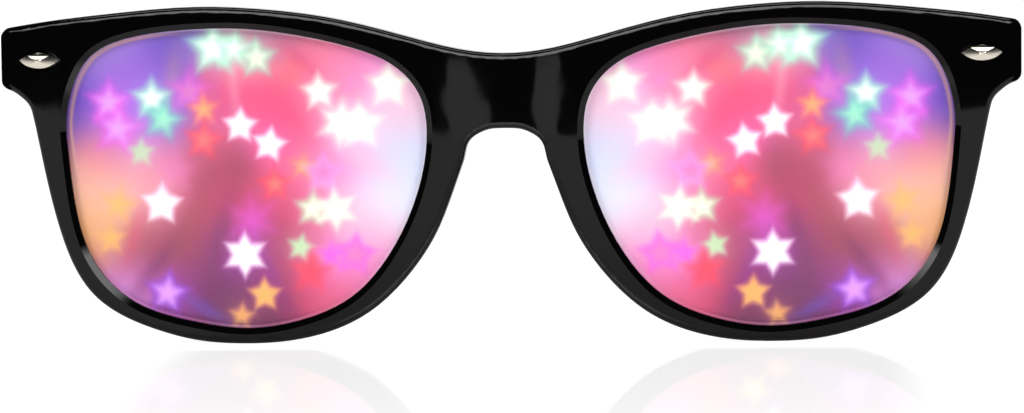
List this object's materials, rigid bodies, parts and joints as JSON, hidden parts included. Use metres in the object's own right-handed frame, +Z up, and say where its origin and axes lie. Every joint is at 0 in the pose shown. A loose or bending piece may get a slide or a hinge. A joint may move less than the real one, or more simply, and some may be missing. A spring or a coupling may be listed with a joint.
{
  "type": "diffraction glasses",
  "caption": "Gloss black folding glasses with silver oval rivets and mirror-like diffraction film lenses that turn points of light into coloured stars.",
  "frame": {"origin": "on the surface that the glasses stand on, below the middle of their bounding box", "axes": "+Z up, the front faces -Y, the temples run back along +Y, the wearer's left is +X"},
  "size_m": [0.146, 0.1536, 0.0481],
  "materials": {
    "gloss_black": "polished",
    "lens_sheet": "polished, clear",
    "grating_film": "diffraction film, pink and violet with coloured star lights",
    "rivet_chrome": "polished",
    "hinge_metal": "satin",
    "screw_steel": "turned"
  },
  "bodies": {
    "front": {"front_frame": "gloss_black", "left_lens_front_sheet": "lens_sheet", "left_grating_film": "grating_film", "left_lens_back_sheet": "lens_sheet", "left_oval_rivet": "rivet_chrome", "left_front_hinge_leaf": "hinge_metal", "left_hinge_screw": "screw_steel", "left_front_leaf_screws": "screw_steel", "right_lens_front_sheet": "lens_sheet", "right_grating_film": "grating_film", "right_lens_back_sheet": "lens_sheet", "right_oval_rivet": "rivet_chrome", "right_front_hinge_leaf": "hinge_metal", "right_hinge_screw": "screw_steel", "right_front_leaf_screws": "screw_steel"},
    "left_temple_arm": {"left_temple": "gloss_black", "left_temple_hinge_leaf": "hinge_metal", "left_temple_leaf_screws": "screw_steel"},
    "right_temple_arm": {"right_temple": "gloss_black", "right_temple_hinge_leaf": "hinge_metal", "right_temple_leaf_screws": "screw_steel"}
  },
  "joints": [
    {"name": "left_temple_fold", "type": "hinge", "parent": "front", "child": "left_temple_arm", "pos_m": [0.0671, -0.06055, 0.04065], "axis": [0, 0, 1], "range_deg": [0, 90]},
    {"name": "right_temple_fold", "type": "hinge", "parent": "front", "child": "right_temple_arm", "pos_m": [-0.0671, -0.06055, 0.04065], "axis": [0, 0, -1], "range_deg": [0, 85]}
  ]
}
